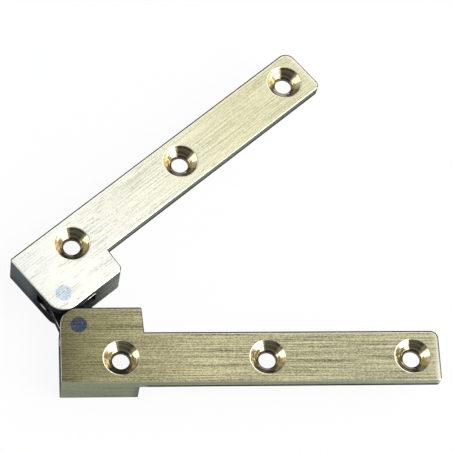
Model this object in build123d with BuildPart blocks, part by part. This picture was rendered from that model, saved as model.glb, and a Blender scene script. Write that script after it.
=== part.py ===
# Card table hinge: two mirror-image brass leaves, each turning on its own pin in
# one steel link, so that they fold face to face or open out flat, end to end.
import math
import os

from build123d import *

os.makedirs("parts", exist_ok=True)

# Leaf outline, seen from the countersunk front.
leaf_length = 90.75
arm_width = 12.7
head_length = 18.65  # along the straight outer edge, behind the arm
head_width = 19.05
step_foot = 1.25  # the head is this much longer at the step, where it meets the arm
step_lean = 0.5  # and leans back by this much up to the closing face

# Corners of the outline, rounded by hand and so a little different on each leaf.
lower_end_corner = 0.15  # head, on the straight outer edge
upper_end_corner = 0.6
lower_step_corner = 0.4
upper_step_corner = 1.4
lower_inner_tip = 2.0  # free end, on the closing side
upper_inner_tip = 1.5
lower_outer_tip = 0.8
upper_outer_tip = 2.6

# Leaf thickness, from the front backwards.
arm_thickness = 3.2
head_depth = 10.3
front_edge_break = 0.25
back_edge_break = 0.2

# Screw holes for a flat-head screw with a 4.2 mm shank.
hole_count = 3
first_hole = 14.3  # from the head's end face
last_hole = 6.65  # from the arm's free end
hole_line = 6.2  # from the leaf's straight outer edge
hole_diameter = 4.2
countersink_diameter = 8.5
countersink_angle = 90
relief_width = 10.4  # milled behind the first hole, so that its screw sees arm thickness
relief_land = 0.1  # the relief stops this far behind the arm's back

# Pins, pressed through both cheeks of a head and ground flush with its faces.
pin_diameter = 3.97
pin_inset = 4.4  # from the pin's axis to the end face and to the closing face

# Link and the slot it turns in.
front_cheek = 2.8
link_thickness = 3.2
link_side_gap = 0.1  # between the link and each cheek
link_setback = 0.4  # the link's round end stays this far inside the head's faces
link_bore_gap = 0.04  # running clearance on the pin's radius
link_edge_break = 0.2
leaf_gap = 0.1  # left between the leaves when they are shut
slot_floor_gap = 1.1  # between the link's round end and the slot's floor
slot_shift_end = 0.8  # the slot cutter's centre, from the pin towards the end face
slot_shift_face = 2.4  # and towards the closing face
slot_mouth_break = 0.2

# Pose in the hand: how far each leaf is opened from the shut position, in degrees.
lower_opening_angle = 22.9
upper_opening_angle = 16.4

# Levels. The arms' backs lie in the plane z = 0.
front_z = arm_thickness
back_z = front_z - head_depth
link_front_z = front_z - front_cheek - link_side_gap
slot_width = link_thickness + 2 * link_side_gap

# Places in a leaf's own frame: pin axis at the origin, arm along +X, closing face at +Y.
end_x = -pin_inset
tip_x = end_x + leaf_length
face_y = pin_inset
outer_y = face_y - head_width
arm_top_y = outer_y + arm_width
hole_x = end_x + first_hole
hole_y = outer_y + hole_line
hole_pitch = (leaf_length - first_hole - last_hole) / (hole_count - 1)
middle_hole_x = hole_x + hole_pitch * (hole_count - 1) / 2
pin_radius = pin_diameter / 2
link_radius = pin_inset - link_setback
slot_radius = link_radius + slot_floor_gap + math.hypot(slot_shift_end, slot_shift_face)

# Both pins. The origin is the middle screw hole of the lower leaf.
pin_spacing = 2 * pin_inset + leaf_gap
link_angle = 90 + lower_opening_angle
upper_angle = lower_opening_angle + upper_opening_angle
link_run = Vector(pin_spacing, 0).rotate(Axis.Z, link_angle)
lower_pin_at = Vector(-middle_hole_x, -hole_y)
upper_pin_at = lower_pin_at + link_run


def leaf_form(end_corner, step_corner, inner_tip, outer_tip):
    with BuildPart() as leaf:
        # Square head, with its pin corner rounded about the pin.
        with BuildSketch(Plane.XY.offset(back_z)):
            with BuildLine():
                Polyline(
                    (end_x, 0),
                    (end_x, outer_y),
                    (end_x + head_length, outer_y),
                    (end_x + head_length + step_foot, arm_top_y),
                    (end_x + head_length + step_foot - step_lean, face_y),
                    (0, face_y),
                )
                CenterArc((0, 0), pin_inset, 90, 90)
            make_face()
        extrude(amount=head_depth)

        # Thin arm, flush with the head in front.
        with BuildSketch(Plane.XY.offset(front_z)):
            with Locations((end_x + head_length / 2, outer_y)):
                Rectangle(leaf_length - head_length / 2, arm_width, align=Align.MIN)
        extrude(amount=-arm_thickness)

        uprights = leaf.edges().filter_by(Axis.Z)
        fillet(uprights.group_by(Axis.X)[0].sort_by(Axis.Y)[0], radius=end_corner)
        fillet(uprights.group_by(Axis.Y)[-1].sort_by(Axis.X)[-1], radius=step_corner)
        fillet(uprights.group_by(Axis.X)[-1].sort_by(Axis.Y)[-1], radius=inner_tip)
        fillet(uprights.group_by(Axis.X)[-1].sort_by(Axis.Y)[0], radius=outer_tip)
        fillet(leaf.faces().sort_by(Axis.Z)[-1].edges(), radius=front_edge_break)
        fillet(leaf.faces().sort_by(Axis.Z)[0].edges(), radius=back_edge_break)

        # Relief behind the first screw, open towards the arm.
        with BuildSketch(Plane.XY.offset(-relief_land)):
            with Locations((hole_x, hole_y)):
                Circle(relief_width / 2)
                Rectangle(head_length, relief_width, align=(Align.MIN, Align.CENTER))
        extrude(amount=-head_depth, mode=Mode.SUBTRACT)

        with Locations((middle_hole_x, hole_y, front_z)):
            with GridLocations(hole_pitch, hole_pitch, hole_count, 1):
                CounterSinkHole(
                    radius=hole_diameter / 2,
                    counter_sink_radius=countersink_diameter / 2,
                    counter_sink_angle=countersink_angle,
                )

        # Pin bore through both cheeks, and the slot between them.
        Hole(radius=pin_radius)
        with BuildSketch(Plane.XY.offset(front_z - front_cheek)):
            with Locations((-slot_shift_end, slot_shift_face)):
                Circle(slot_radius)
        extrude(amount=-slot_width, mode=Mode.SUBTRACT)

        # The slot's mouth is broken all along the outside of the head.
        flat_edges = leaf.edges(Select.LAST).filter_by(Plane.XY)
        mouth = flat_edges.filter_by(GeomType.LINE) + flat_edges.filter_by(
            lambda edge: edge.geom_type == GeomType.CIRCLE
            and math.isclose(edge.radius, pin_inset)
        )
        chamfer(mouth, length=slot_mouth_break)
    return leaf.part


lower_form = leaf_form(lower_end_corner, lower_step_corner, lower_inner_tip, lower_outer_tip)
upper_form = leaf_form(upper_end_corner, upper_step_corner, upper_inner_tip, upper_outer_tip)

with BuildPart() as lower_leaf:
    with Locations(lower_pin_at):
        add(lower_form)
lower_leaf.part.label = "lower_leaf"

# The upper leaf is the lower one's mirror image, swung open about the link.
with BuildPart() as upper_leaf:
    with Locations(Location(upper_pin_at, (0, 0, upper_angle))):
        add(mirror(upper_form, about=Plane.XZ, mode=Mode.PRIVATE))
upper_leaf.part.label = "upper_leaf"

# Flat link with round ends, bored to run on the pins.
link_plane = Plane(
    origin=lower_pin_at + Vector(0, 0, link_front_z), x_dir=link_run, z_dir=(0, 0, 1)
)
with BuildPart() as link:
    with BuildSketch(link_plane):
        with Locations((pin_spacing / 2, 0)):
            SlotCenterToCenter(pin_spacing, 2 * link_radius)
    extrude(amount=-link_thickness)
    fillet(link.edges().filter_by(Plane.XY), radius=link_edge_break)
    with BuildSketch(link_plane):
        with Locations((0, 0), (pin_spacing, 0)):
            Circle(pin_radius + link_bore_gap)
    extrude(amount=-link_thickness, mode=Mode.SUBTRACT)
link.part.label = "link"

with BuildPart() as lower_pin:
    with BuildSketch(Plane.XY.offset(back_z)):
        with Locations(lower_pin_at):
            Circle(pin_radius)
    extrude(amount=head_depth)
lower_pin.part.label = "lower_pin"

with BuildPart() as upper_pin:
    with BuildSketch(Plane.XY.offset(back_z)):
        with Locations(upper_pin_at):
            Circle(pin_radius)
    extrude(amount=head_depth)
upper_pin.part.label = "upper_pin"

export_step(lower_leaf.part, "parts/lower_leaf.step")
export_step(upper_leaf.part, "parts/upper_leaf.step")
export_step(link.part, "parts/link.step")
export_step(lower_pin.part, "parts/lower_pin.step")
export_step(upper_pin.part, "parts/upper_pin.step")
print("pins at", lower_pin_at, upper_pin_at)
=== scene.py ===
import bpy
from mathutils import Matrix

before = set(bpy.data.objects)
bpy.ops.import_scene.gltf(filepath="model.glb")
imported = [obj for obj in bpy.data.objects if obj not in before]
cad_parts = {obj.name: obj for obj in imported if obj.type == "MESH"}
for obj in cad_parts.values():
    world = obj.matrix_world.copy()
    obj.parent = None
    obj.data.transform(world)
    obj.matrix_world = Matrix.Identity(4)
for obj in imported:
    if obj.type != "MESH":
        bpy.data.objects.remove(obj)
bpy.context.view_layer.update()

import math
from types import SimpleNamespace
import bpy
from mathutils import Euler, Vector

mm = 0.001
scene = bpy.context.scene
scene.view_settings.view_transform = "Standard"


class Wire:  # one output socket; a sum written with it adds its own nodes
    def __init__(self, sheet, socket):
        self.sheet = sheet
        self.socket = socket

    def twin(self, output):  # another output of the same node
        return Wire(self.sheet, self.socket.node.outputs[output])

    def maths(self, operation, *parts):  # Vector Math as soon as a vector or a colour takes part
        sockets = [part.socket.type for part in parts if isinstance(part, Wire)]
        wide = "VECTOR" in sockets or "RGBA" in sockets or any(isinstance(part, tuple) for part in parts)
        kind = "ShaderNodeVectorMath" if wide else "ShaderNodeMath"
        return self.sheet.node(kind, {"operation": operation}, dict(enumerate(parts)))

    def __add__(self, other): return self.maths("ADD", self, other)
    def __radd__(self, other): return self.maths("ADD", other, self)
    def __sub__(self, other): return self.maths("SUBTRACT", self, other)
    def __rsub__(self, other): return self.maths("SUBTRACT", other, self)
    def __mul__(self, other): return self.maths("MULTIPLY", self, other)
    def __rmul__(self, other): return self.maths("MULTIPLY", other, self)
    def __truediv__(self, other): return self.maths("DIVIDE", self, other)
    def __rtruediv__(self, other): return self.maths("DIVIDE", other, self)


class Sheet:  # the node tree of one material or of the world
    def __init__(self, owner):
        owner.use_nodes = True
        self.tree = owner.node_tree
        self.tree.nodes.clear()

    # any node: its type, its settings, then the values or links of its sockets
    def node(self, kind, settings=None, sockets=None, output=0):
        made = self.tree.nodes.new(kind)
        for name, value in (settings or {}).items():
            setattr(made, name, value)
        for name, value in (sockets or {}).items():
            socket = made.inputs[name]
            if isinstance(value, Wire):
                self.tree.links.new(value.socket, socket)
            elif socket.type == "VECTOR" and not isinstance(value, tuple):
                socket.default_value = (value, value, value)
            elif socket.type == "RGBA":
                socket.default_value = (*value, 1)
            else:
                socket.default_value = value
        return Wire(self, made.outputs[output]) if len(made.outputs) else None

    def step(self, value, span, first=0.0, last=1.0):  # a smooth change from first to last over the span
        return self.node("ShaderNodeMapRange", {"interpolation_type": "SMOOTHSTEP"},
                         {0: value, 1: span[0], 2: span[1], 3: first, 4: last})

    def fall(self, value, span):
        return self.step(value, span, 1.0, 0.0)

    def band(self, value, rising, falling):  # 1 between two soft borders, 0 beyond them
        return self.step(value, rising) * self.fall(value, falling)

    def mix(self, factor, first, second):  # two colours
        return self.node("ShaderNodeMix", {"data_type": "RGBA"}, {0: factor, 6: first, 7: second}, 2)

    def blend(self, factor, first, second):  # two vectors
        return self.node("ShaderNodeMix", {"data_type": "VECTOR"}, {0: factor, 4: first, 5: second}, 1)

    def function(self, operation, *parts):
        return self.node("ShaderNodeMath", {"operation": operation}, dict(enumerate(parts)))

    def split(self, vector):
        x = self.node("ShaderNodeSeparateXYZ", None, {0: vector})
        return x, x.twin(1), x.twin(2)

    def vector(self, x, y, z):
        return self.node("ShaderNodeCombineXYZ", None, {0: x, 1: y, 2: z})

    def length(self, vector):
        return self.node("ShaderNodeVectorMath", {"operation": "LENGTH"}, {0: vector}, "Value")

    def unit(self, vector):
        return self.node("ShaderNodeVectorMath", {"operation": "NORMALIZE"}, {0: vector})

    def noise(self, vector, detail=1.0, scale=1.0):
        return self.node("ShaderNodeTexNoise", None, {"Vector": vector, "Scale": scale, "Detail": detail})


def towards(way, x, y):  # how far a point or a normal goes a given way in the plane
    return x * way[0] + y * way[1]


def between(first, last, share):
    return first + (last - first) * share


# camera: where the photographer stood, for a square picture; places in millimetres, turns in degrees
cameraPlace = {"at": (-71.43, -188.38, 497.09), "turn": (24.388, -6.050, -2.710),
               "lens": 178.57, "sensor": 36, "nearest": 0.01, "farthest": 20}
camera = bpy.data.objects.new("camera", bpy.data.cameras.new("camera"))
scene.collection.objects.link(camera)
camera.location = Vector(cameraPlace["at"]) * mm
camera.rotation_euler = Euler([math.radians(angle) for angle in cameraPlace["turn"]])
camera.data.lens, camera.data.sensor_width = cameraPlace["lens"], cameraPlace["sensor"]
camera.data.clip_start, camera.data.clip_end = cameraPlace["nearest"], cameraPlace["farthest"]
scene.camera = camera
print("camera set")


# lamps: a wide softbox low at the right in front and a tall one high at the right, both turned
# to the middle of the hinge; degrees, metres and watts
lamps = {"key": {"azimuth": -39, "elevation": 14, "distance": 0.9,
                 "width": 0.70, "height": 0.36, "power": 1.9},
         "top": {"azimuth": -26, "elevation": 50, "distance": 0.9,
                 "width": 0.45, "height": 0.65, "power": 3.2}}
hingeMiddle = Vector((-10, 37, 0)) * mm
for lampName, lamp in lamps.items():
    azimuth, elevation = math.radians(lamp["azimuth"]), math.radians(lamp["elevation"])
    toLamp = Vector((math.cos(azimuth) * math.cos(elevation), math.sin(azimuth) * math.cos(elevation),
                     math.sin(elevation)))
    lampName = lampName + " softbox"
    softbox = bpy.data.objects.new(lampName, bpy.data.lights.new(lampName, "AREA"))
    scene.collection.objects.link(softbox)
    softbox.data.shape, softbox.data.size, softbox.data.size_y = "RECTANGLE", lamp["width"], lamp["height"]
    softbox.data.energy = lamp["power"]
    softbox.location = hingeMiddle + toLamp * lamp["distance"]
    softbox.rotation_euler = toLamp.to_track_quat("Z", "Y").to_euler()
    softbox.visible_camera = False

# room: how bright each side of it is, from the horizon up; the borders are parts of a unit
# direction, x to the right, y to the back, z up
room = {"tint": (0.95, 0.98, 1.0),
        "horizon": 1.0, "horizonTop": (0.05, 0.20),
        "shade": 0.60, "shadeEnds": (-0.32, -0.16), "dark": 0.10,
        "bright": 0.97, "brightFrom": (0.03, 0.09),
        "low": 0.4, "lowEnds": (-0.36, -0.16), "right": 0.9, "rightFrom": (0.28, 0.55),
        "front": 0.20, "frontWay": (-0.26, -0.966), "frontFrom": (0.62, 0.78), "frontBottom": (0.05, 0.16),
        "left": 2.0, "leftFrom": (-0.70, -0.80), "leftAlong": ((-0.24, -0.16), (0.30, 0.38)),
        "leftHigh": ((0.05, 0.10), (0.34, 0.40)),
        "over": 0.15, "overAcross": ((-0.44, -0.38), (-0.24, -0.16)),
        "overAlong": ((-0.26, -0.20), (-0.05, 0.0)), "overFrom": (0.6, 0.7)}
walls = bpy.data.worlds.new("room")
scene.world = walls
s = Sheet(walls)
x, y, z = s.split(s.node("ShaderNodeTexCoord", None, None, "Generated"))
shade = s.step(x, room["shadeEnds"], room["shade"], room["dark"])
upper = s.step(x, room["brightFrom"], shade, room["bright"]) * s.step(y, room["lowEnds"], room["low"], 1.0)
upper = upper + s.step(x, room["rightFrom"], 0.0, room["right"])
level = s.step(z, room["horizonTop"], room["horizon"], 0.0) + s.step(z, room["horizonTop"]) * upper
front = s.step(towards(room["frontWay"], x, y), room["frontFrom"]) * s.step(z, room["frontBottom"])
level = level * (1 - front) + front * room["front"]
left = s.step(x, room["leftFrom"]) * s.band(y, *room["leftAlong"])
level = level + left * s.band(z, *room["leftHigh"]) * room["left"]
over = s.band(x, *room["overAcross"]) * s.band(y, *room["overAlong"])
level = level + over * s.step(z, room["overFrom"]) * room["over"]
sky = s.node("ShaderNodeBackground", None, {"Color": room["tint"], "Strength": level})
s.node("ShaderNodeOutputWorld", None, {"Surface": sky})
print("lamps set")


# floor: the pale table, a hair under the backs of the heads; height and drop in millimetres
floorLook = {"height": -7.1, "drop": 0.02, "half": 3.0, "colour": (0.93, 0.93, 0.93), "grain": 3.0,
             "grainDetail": 2.0, "grainDark": 0.985, "rough": 0.9, "specular": 0.2,
             "white": (1.0, 1.0, 1.0), "whiten": 0.92, "whitenGloss": 0.18}
h, top = floorLook["half"], (floorLook["height"] - floorLook["drop"]) * mm
mesh = bpy.data.meshes.new("floor")
mesh.from_pydata([(-h, -h, top), (h, -h, top), (h, h, top), (-h, h, top)], [], [(0, 1, 2, 3)])
floor = bpy.data.objects.new("floor", mesh)
scene.collection.objects.link(floor)
paint = bpy.data.materials.new("pale table")
s = Sheet(paint)
place = s.node("ShaderNodeTexCoord", None, None, "Object")
grain = s.noise(place, floorLook["grainDetail"], floorLook["grain"])
darker = tuple(part * floorLook["grainDark"] for part in floorLook["colour"])
shade = s.node("ShaderNodeBsdfPrincipled", None,
               {"Base Color": s.mix(grain, floorLook["colour"], darker), "Roughness": floorLook["rough"],
                "Specular IOR Level": floorLook["specular"]})
# seen straight or through glass it is nearly white, in a reflection less so, and it keeps its shadow
cameraRay = s.node("ShaderNodeLightPath")
seen = ((cameraRay + cameraRay.twin("Is Transmission Ray")) * floorLook["whiten"]
        + cameraRay.twin("Is Glossy Ray") * floorLook["whitenGloss"])
white = s.node("ShaderNodeEmission", None, {"Color": floorLook["white"], "Strength": 1.0})
shade = s.node("ShaderNodeMixShader", None, {0: seen, 1: shade, 2: white})
s.node("ShaderNodeOutputMaterial", None, {"Surface": shade})
mesh.materials.append(paint)
print("floor laid")


# a leaf's own frame: millimetres from its pin, x along the arm, turned by so many degrees
# side is 1 where the closing side looks to +y, and -1 on the mirrored leaf
# head, arm and tip are the colours of the front from the pin to the free end
# the two leaves are one brass: the pale upper leaf, the darker lower one and their closing colours are
# painted light and shade
lowerLeaf = {"pin": (-44.8, 8.45), "turn": 0.0, "side": 1,
             "head": (0.585, 0.53, 0.27), "arm": (0.71, 0.64, 0.37), "tip": (0.585, 0.535, 0.33),
             "closing": (0.30, 0.33, 0.25), "lines": 1.0, "bend": 0.35, "headCalm": 0.85, "armCalm": 0.9,
             "headEdge": 4.4, "armEdge": -1.95, "corner": 2.0, "endLine": 0.5,
             "endShade": 0.35, "tipHighlight": 0.95, "streaks": 0.35}
upperLeaf = {"pin": (-48.2632, 16.6486), "turn": 39.3, "side": -1,
             "head": (0.98, 0.97, 0.87), "arm": (0.90, 0.875, 0.74), "tip": (0.74, 0.70, 0.46),
             "closing": (0.10, 0.11, 0.09), "lines": 0.62, "bend": 0.08, "headCalm": 0.3, "armCalm": 0.75,
             "headEdge": 14.65, "armEdge": 14.65, "corner": 2.6, "endLine": 0.5,
             "endShade": 0.0, "tipHighlight": 0.4, "streaks": 0.45}
inPlane = (1.0, 1.0, 0.0)  # leaves the height out


def leafCoords(s, leaf):
    place = s.node("ShaderNodeTexCoord", None, None, "Object")
    pinX, pinY = leaf["pin"]
    return s.node("ShaderNodeMapping", {"vector_type": "TEXTURE"},
                  {"Vector": place, "Location": (pinX * mm, pinY * mm, 0),
                   "Rotation": (0, 0, math.radians(leaf["turn"])), "Scale": (mm, mm, mm)})


def leafNormal(s, leaf):
    own = s.node("ShaderNodeTexCoord", None, None, "Normal")
    return s.node("ShaderNodeVectorRotate", {"rotation_type": "Z_AXIS"},
                  {"Vector": own, "Angle": -math.radians(leaf["turn"])})


def toWorld(s, leaf, direction, kind="NORMAL"):  # a direction in the leaf's frame, as the shader wants it
    turned = s.node("ShaderNodeVectorRotate", {"rotation_type": "Z_AXIS"},
                    {"Vector": direction, "Angle": math.radians(leaf["turn"])})
    return s.node("ShaderNodeVectorTransform",
                  {"vector_type": kind, "convert_from": "OBJECT", "convert_to": "WORLD"}, {0: turned})


# brushing of all the metal: long straight lines with short scratches among them, in millimetres
# across is the way over the lines in which a highlight spreads
brushing = {"lineLength": 22.0, "linePitch": 0.20, "line": (0.36, 0.64), "lineShare": 0.6,
            "scratchLength": 0.36, "scratchPitch": 0.18, "scratch": (0.38, 0.62), "scratchShare": 0.4,
            "scratchShift": (7.3, 2.1, 5.7), "across": (0.02, 1.0, 1.0)}
noiseMean = 0.5


# from 0 to 1; where turned is 1 the lines run across the arm instead of along it
def brushLines(s, at, turned=None):
    paces = []
    for kind in ("line", "scratch"):
        longPace, shortPace = 1 / brushing[kind + "Length"], 1 / brushing[kind + "Pitch"]
        pace = (longPace, shortPace, shortPace)
        if turned is not None:
            pace = s.blend(turned, pace, (shortPace, longPace, shortPace))
        paces.append(pace)
    line = s.noise(at * paces[0])
    scratch = s.noise(at * paces[1] + brushing["scratchShift"])
    return (s.step(line, brushing["line"]) * brushing["lineShare"]
            + s.step(scratch, brushing["scratch"]) * brushing["scratchShare"])


def brushedNormal(s, normal, lines, bend):
    lean = (lines - noiseMean) * bend
    return normal + s.vector(0.0, lean, lean)


# brass: what its faces, sides, edges and countersinks share; lengths in millimetres
# tilt is the upright part of a normal, 1 on the faces and 0 on the sides
brass = {"tip": 86.35, "firstHole": 9.9, "holePitch": 34.9, "holeLine": -8.45, "coneEdge": (4.23, 4.27),
         "uprightTilt": (0.25, 0.55), "acrossFrom": (0.6, 0.8),
         # highlight is the pale colour of every painted highlight: tip, edges, slot lip and countersink
         # rims
         # nickAndShade is the near-black of the nicks and of the painted shade
         "nickAndShade": (0.016, 0.018, 0.021), "highlight": (1.0, 0.97, 0.82),
         "faceRough": 0.30, "sideRough": 0.5, "metal": 0.88, "spread": 1.0, "tint": (0.55, 0.55, 0.55)}


# where a point of a leaf lies and which way it looks, as the finishes below ask for it
def leafPoint(s, leaf):
    p = SimpleNamespace()
    p.at = leafCoords(s, leaf)
    p.x, p.y, p.z = s.split(p.at)
    p.toClosing = p.y * leaf["side"]
    p.normal = leafNormal(s, leaf)
    p.normalX, normalY, normalZ = s.split(p.normal)
    p.facing = normalY * leaf["side"]  # 1 on the closing side
    p.tilt = s.function("ABSOLUTE", normalZ)
    p.lookX, p.lookY, _ = s.split(s.node("ShaderNodeTexCoord", None, None, "Normal"))  # as the hinge lies

    # the nearest screw hole: the way out from its axis and the distance
    halfPitch = brass["holePitch"] / 2
    p.along = s.function("WRAP", p.x - brass["firstHole"], halfPitch, -halfPitch)
    p.across = p.y - brass["holeLine"] * leaf["side"]
    spoke = s.vector(p.along, p.across, 0.0)
    p.radius, p.outward = s.length(spoke), s.unit(spoke)
    p.inCone = s.fall(p.radius, brass["coneEdge"])
    p.upright = s.fall(p.tilt, brass["uprightTilt"]) * (1 - p.inCone)
    p.lines = brushLines(s, p.at, s.step(s.function("ABSOLUTE", p.normalX), brass["acrossFrom"]))
    return p


# face: brushed, calmer in patches, with dull streaks, a few nicks, painted shade at the head's end and a
# painted highlight at the tip
faceLook = {"lineDark": 0.30, "lineLight": 1.52,
            "patchPace": (0.11, 0.30, 0.30), "patchShift": (4.9, 1.7, 8.3), "patch": (0.40, 0.58),
            "calmRun": (8.0, 30.0), "armRun": (0.0, 30.0), "tipRun": (20.0, 66.0), "endRun": (3.0, -4.4),
            "highlightRun": (84.4, 86.2), "highlightAcross": (-12.5, -6.0), "highlightClosing": 0.4,
            "streak": (0.40, 0.33, 0.20), "streakPace": (0.32, 2.6, 2.6), "streakShift": (3.1, 9.7, 1.3),
            "streakCut": (0.62, 0.70), "nickEvery": 13.0, "nickSize": (0.0156, 0.026), "nickDark": 0.7}


def faceColour(s, leaf, p):
    f = faceLook
    patch = s.noise(p.at * f["patchPace"] + f["patchShift"])
    calm = s.step(p.x, f["calmRun"], leaf["headCalm"], leaf["armCalm"])
    strength = s.step(patch, f["patch"], calm, 1.0) * leaf["lines"]
    tone = (1 - strength) + strength * between(f["lineDark"], f["lineLight"], p.lines)
    colour = s.mix(s.step(p.x, f["armRun"]), leaf["head"], leaf["arm"])
    colour = s.mix(s.step(p.x, f["tipRun"]), colour, leaf["tip"]) * tone
    # painted shade darkening the front towards the head's end by the pin
    colour = s.mix(s.step(p.x, f["endRun"]) * leaf["endShade"], colour, brass["nickAndShade"])
    # painted highlight along the tip's free end, strongest towards its outer side
    highlight = s.step(p.toClosing, f["highlightAcross"], leaf["tipHighlight"], f["highlightClosing"])
    colour = s.mix(s.step(p.x, f["highlightRun"]) * highlight, colour, brass["highlight"])

    streak = s.noise(p.at * f["streakPace"] + f["streakShift"])
    colour = s.mix(s.step(streak, f["streakCut"]) * leaf["streaks"], colour, f["streak"])
    nick = s.node("ShaderNodeTexVoronoi", None, {"Vector": p.at * inPlane, "Scale": 1 / f["nickEvery"]})
    return s.mix(s.step(nick, f["nickSize"], f["nickDark"], 0.0), colour, brass["nickAndShade"])


# side: milled, with painted shade on the end face, near the pin, at the step and along the back edge
sideLook = {"colour": (0.42, 0.45, 0.32), "end": (0.15, 0.17, 0.185), "dark": 0.55, "light": 1.35,
            "closingFrom": (0.4, 0.8), "endTo": (-0.8, -0.4),
            "pinShade": 0.95, "pinShadeRadius": (5.0, 9.0), "pinShadeRun": (3.0, 14.0),
            "stepShadow": 0.65, "stepShadowRun": ((12.4, 14.2), (14.6, 15.0)), "stepShadowTop": (-0.2, 0.0),
            "back": 0.9, "armFrom": (15.5, 16.5), "armBack": (0.9, 1.1), "headBack": (-6.7, -6.5)}


def sideColour(s, leaf, p):
    d = sideLook
    closing = s.step(p.facing, d["closingFrom"])
    colour = s.mix(closing, d["colour"], leaf["closing"])
    # painted shade: the end faces dark and bluish
    colour = s.mix(s.fall(p.normalX, d["endTo"]), colour, d["end"])
    # painted shadow on the side where the head steps down to the arm
    stepShadow = s.band(p.x, *d["stepShadowRun"]) * s.step(p.z, d["stepShadowTop"], d["stepShadow"], 0.0)
    colour = s.mix(stepShadow, colour, d["end"])
    # painted shade near the pin, and on the closing side towards it
    nearPin = s.fall(s.length(p.at * inPlane), d["pinShadeRadius"])
    pinShade = s.function("MAXIMUM", nearPin, closing * s.fall(p.x, d["pinShadeRun"]))
    colour = s.mix(pinShade * d["pinShade"], colour, brass["nickAndShade"]) * between(d["dark"], d["light"], p.lines)
    # painted shade: a dark line along the back edge of the sides
    armBack = s.fall(p.z, d["armBack"]) * s.step(p.x, d["armFrom"])
    backShade = s.function("MAXIMUM", armBack, s.fall(p.z, d["headBack"]))
    return s.mix(backShade * d["back"], colour, brass["nickAndShade"])


# slot for the link: painted shade inside, a painted glint on its back wall by the end face, and a
# painted highlight along the lip of the front cheek on the closing side; wall is the cutter's radius about
# at
slotLook = {"at": (-0.8, 2.4), "wall": (7.63, 7.65), "front": (0.59, 0.61), "back": (-3.21, -3.19),
            "inside": (0.02, 0.02, 0.02), "glint": (0.50, 0.53, 0.40), "glintTop": (-3.0, -2.9),
            "glintEnd": (-3.2, -2.7), "glintAcross": ((-3.4, -2.6), (-1.6, -0.8)),
            "lipHighlight": 0.95, "lipDim": 0.12, "lipHigh": ((0.60, 0.66), (1.06, 1.18)), "lipWall": (7.53, 7.63),
            "lipFacing": (0.9, 0.95), "lipFrom": (1.4, 2.2), "lipBright": (3.8, 4.4)}


def slotMarks(s, leaf, p):
    d = slotLook
    centreX, centreY = d["at"]
    fromCentre = s.length((p.at - (centreX, centreY * leaf["side"], 0.0)) * inPlane)
    inSlot = s.fall(fromCentre, d["wall"]) * s.fall(p.z, d["front"]) * s.step(p.z, d["back"])
    glint = (s.fall(p.z, d["glintTop"]) * s.fall(p.x, d["glintEnd"])
             * s.band(p.toClosing, *d["glintAcross"]))
    lipHighlight = (s.band(p.z, *d["lipHigh"]) * s.step(p.facing, d["lipFacing"]) * s.step(p.x, d["lipFrom"])
           * s.step(p.x, d["lipBright"], d["lipDim"], d["lipHighlight"]) * s.fall(fromCentre, d["lipWall"]))
    # painted shade inside the slot with a painted glint, and a painted highlight along the lip
    return inSlot, s.mix(glint, d["inside"], d["glint"]), lipHighlight


# edges: painted highlights on the near edges, painted shade as a black line along the far side
# with a painted highlight inside it, and a thin painted highlight round each countersink
edgeLook = {"near": (0.80, 0.78, 0.64), "nearTilt": ((0.30, 0.60), (0.90, 0.99)), "nearDim": 0.2,
            "far": (0.01, 0.01, 0.01), "farWay": (0.6, 1.0), "farFrom": (0.01, 0.05),
            "farTilt": ((0.2, 0.35), (0.985, 0.999)), "farBottom": (2.8, 2.9), "farRough": 0.4,
            "farMetal": 0.8, "headEnds": (15.0, 15.4), "cornerEnds": (0.0, 0.7), "faceBottom": (3.0, 3.1),
            "farLine": (0.32, 0.38), "pale": 0.45, "paleLine": ((0.38, 0.44), (0.62, 0.72)),
            "rim": 0.85, "rimRing": ((4.25, 4.30), (4.39, 4.47)), "rimLean": -0.3}


def edgeLines(s, leaf, p):
    d = edgeLook
    farSide = s.step(towards(d["farWay"], p.lookX, p.lookY), d["farFrom"])
    farSide = farSide * s.band(p.tilt, *d["farTilt"]) * s.step(p.z, d["farBottom"])

    # distance from the far edge, round the corner of the tip too
    corner = leaf["corner"]
    edgeY = s.step(p.x, d["headEnds"], leaf["headEdge"] - corner, leaf["armEdge"] - corner)
    pastX = s.function("MAXIMUM", p.x - (brass["tip"] - corner), 0.0)
    pastY = s.function("MAXIMUM", p.y - edgeY, 0.0)
    fromEdge = corner - s.length(s.vector(pastX, pastY, 0.0))
    onFace = s.step(p.z, d["faceBottom"])
    drawn = s.fall(fromEdge, d["farLine"]) * onFace * s.step(pastY, d["cornerEnds"], leaf["endLine"], 1.0)
    far = s.function("MAXIMUM", farSide, drawn) * (1 - p.inCone)
    return far, s.band(fromEdge, *d["paleLine"]) * onFace * d["pale"]


# cones: turned countersinks with fine rings, chatter marks, a dark ring at the bore and two
# wedges of painted shade, one at the back and one in front
coneLook = {"light": (0.75, 0.67, 0.44), "dark": (0.51, 0.415, 0.235), "rough": 0.08,
            "ringPitch": 0.30, "ringDrift": 0.2, "ringShare": 0.5, "ringBend": 0.30,
            "chatterPace": 9.0, "chatterDrift": 0.6, "chatterDetail": 2.0, "chatterShare": 0.5,
            "chatterBend": 0.10, "marks": (0.38, 0.60),
            "wedgeShade": (0.38, 0.37, 0.33), "wedgeShadeRings": (0.42, 0.62), "wedgeShadeDark": 0.6, "wedgeShadeLight": 1.3,
            "backWay": (0.26, 0.966), "backFrom": (0.50, 0.62),
            "front": 0.9, "frontWay": (-0.33, -0.944), "frontFrom": (0.60, 0.65),
            "bore": (0.07, 0.05, 0.03), "boreRing": (2.12, 2.65), "boreDark": 0.9}


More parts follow.
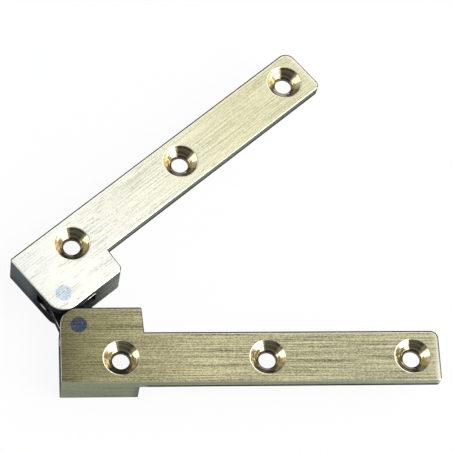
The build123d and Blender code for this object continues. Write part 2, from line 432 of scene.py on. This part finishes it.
def coneShader(s, leaf, p):
    c = coneLook
    ringAt = s.vector(p.radius / c["ringPitch"], p.along * c["ringDrift"], p.across * c["ringDrift"])
    rings = s.noise(ringAt)
    chatterAt = p.outward * c["chatterPace"] + s.vector(0.0, 0.0, p.radius * c["chatterDrift"])
    chatter = s.noise(chatterAt, c["chatterDetail"])
    marks = s.step(rings * c["ringShare"] + chatter * c["chatterShare"], c["marks"])
    colour = s.mix(marks, c["dark"], c["light"])
    # painted shade: dark wedges on the sides of each cone that face back and front
    wedgeShade = colour * c["wedgeShade"] * s.step(rings, c["wedgeShadeRings"], c["wedgeShadeDark"], c["wedgeShadeLight"])
    back = s.step(towards(c["backWay"], p.lookX, p.lookY), c["backFrom"])
    front = s.step(towards(c["frontWay"], p.lookX, p.lookY), c["frontFrom"]) * c["front"]
    colour = s.mix(back + front, colour, wedgeShade)
    colour = s.mix(s.step(p.radius, c["boreRing"], c["boreDark"], 0.0), colour, c["bore"])
    sideways = s.node("ShaderNodeVectorMath", {"operation": "CROSS_PRODUCT"},
                      {0: p.outward, 1: (0.0, 0.0, 1.0)})
    turned = (p.normal + p.outward * ((rings - noiseMean) * c["ringBend"])
              + sideways * ((chatter - noiseMean) * c["chatterBend"]))
    return s.node("ShaderNodeBsdfPrincipled", None,
                  {"Base Color": colour, "Metallic": brass["metal"], "Roughness": c["rough"],
                   "Normal": s.unit(toWorld(s, leaf, turned))})


def brassLook(name, leaf):
    made = bpy.data.materials.new(name)
    s = Sheet(made)
    e = edgeLook
    p = leafPoint(s, leaf)
    inSlot, slot, lipHighlight = slotMarks(s, leaf, p)
    far, pale = edgeLines(s, leaf, p)
    # painted highlight on the near edges
    edgeHighlight = s.band(p.tilt, *e["nearTilt"]) * (1 - p.inCone) * between(e["nearDim"], 1.0, p.lines)
    rim = s.band(p.radius, *e["rimRing"])
    colour = s.mix(edgeHighlight, faceColour(s, leaf, p), e["near"])
    # painted highlight just inside the far edge
    colour = s.mix(pale, colour, brass["highlight"])
    colour = s.mix(p.upright, colour, s.mix(lipHighlight, sideColour(s, leaf, p), brass["highlight"]))
    # painted shade along the far edges
    colour = s.mix(far, colour, e["far"])
    # painted highlight round each countersink
    colour = s.mix(rim * e["rim"], colour, brass["highlight"])
    # painted shade inside the slot
    colour = s.mix(inSlot, colour, slot)

    rough = between(brass["faceRough"], brass["sideRough"], p.upright) + far * e["farRough"]
    normal = brushedNormal(s, p.normal, p.lines, leaf["bend"]) + p.outward * (rim * e["rimLean"])
    shade = s.node("ShaderNodeBsdfPrincipled", None,
                   {"Base Color": colour, "Metallic": brass["metal"] - e["farMetal"] * far,
                    "Roughness": rough, "Normal": s.unit(toWorld(s, leaf, normal)),
                    "Anisotropic": brass["spread"], "Specular Tint": brass["tint"],
                    "Tangent": toWorld(s, leaf, brushing["across"], "VECTOR")})
    shade = s.node("ShaderNodeMixShader", None, {0: p.inCone, 1: shade, 2: coneShader(s, leaf, p)})
    s.node("ShaderNodeOutputMaterial", None, {"Surface": shade})
    return made


# steel: dark link with a painted highlight on its edges near the lower pin; the pins are one steel,
# the lower one painted dark and bluish as shade, the upper one pale as painted light
steel = {"lowerPin": (0.16, 0.19, 0.27), "upperPin": (0.62, 0.72, 0.78), "link": (0.04, 0.04, 0.045),
         "pinRough": 0.38, "linkRough": 0.35, "lineRough": 0.05, "lineDark": 0.15, "lineLight": 1.65,
         "bend": 0.3, "spread": 0.9, "tint": (0.5, 0.5, 0.5),
         "edge": (0.75, 0.73, 0.66), "edgeTilt": ((0.3, 0.5), (0.8, 0.95)),
         "edgeGlintWay": (-0.389, 0.921), "edgeGlintRun": (3.4, 4.4), "edgeGlintLast": 0.15}


def steelLook(name, leaf, colour, rough):
    made = bpy.data.materials.new(name)
    s = Sheet(made)
    m = steel
    at = leafCoords(s, leaf)
    x, y, _ = s.split(at)
    normal = leafNormal(s, leaf)
    tilt = s.function("ABSOLUTE", s.split(normal)[2])
    lines = brushLines(s, at)
    # painted highlight on the edges, fading away from the lower pin
    edgeGlint = s.step(towards(m["edgeGlintWay"], x, y), m["edgeGlintRun"], 1.0, m["edgeGlintLast"])
    metal = s.mix(s.band(tilt, *m["edgeTilt"]) * edgeGlint, colour, m["edge"])
    metal = metal * between(m["lineDark"], m["lineLight"], lines)
    bent = brushedNormal(s, normal, lines, m["bend"])
    shade = s.node("ShaderNodeBsdfPrincipled", None,
                   {"Base Color": metal, "Metallic": 1.0, "Roughness": rough + lines * m["lineRough"],
                    "Normal": s.unit(toWorld(s, leaf, bent)), "Anisotropic": m["spread"],
                    "Specular Tint": m["tint"],
                    "Tangent": toWorld(s, leaf, brushing["across"], "VECTOR")})
    s.node("ShaderNodeOutputMaterial", None, {"Surface": shade})
    return made


def dress(node, look):
    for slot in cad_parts[node].material_slots:
        slot.material = look


dress("lower_leaf", brassLook("lower leaf brass", lowerLeaf))
dress("upper_leaf", brassLook("upper leaf brass", upperLeaf))
print("leaves finished")
dress("lower_pin", steelLook("lower pin steel", lowerLeaf, steel["lowerPin"], steel["pinRough"]))
dress("upper_pin", steelLook("upper pin steel", upperLeaf, steel["upperPin"], steel["pinRough"]))
dress("link", steelLook("link steel", lowerLeaf, steel["link"], steel["linkRough"]))
print("pins and link finished")
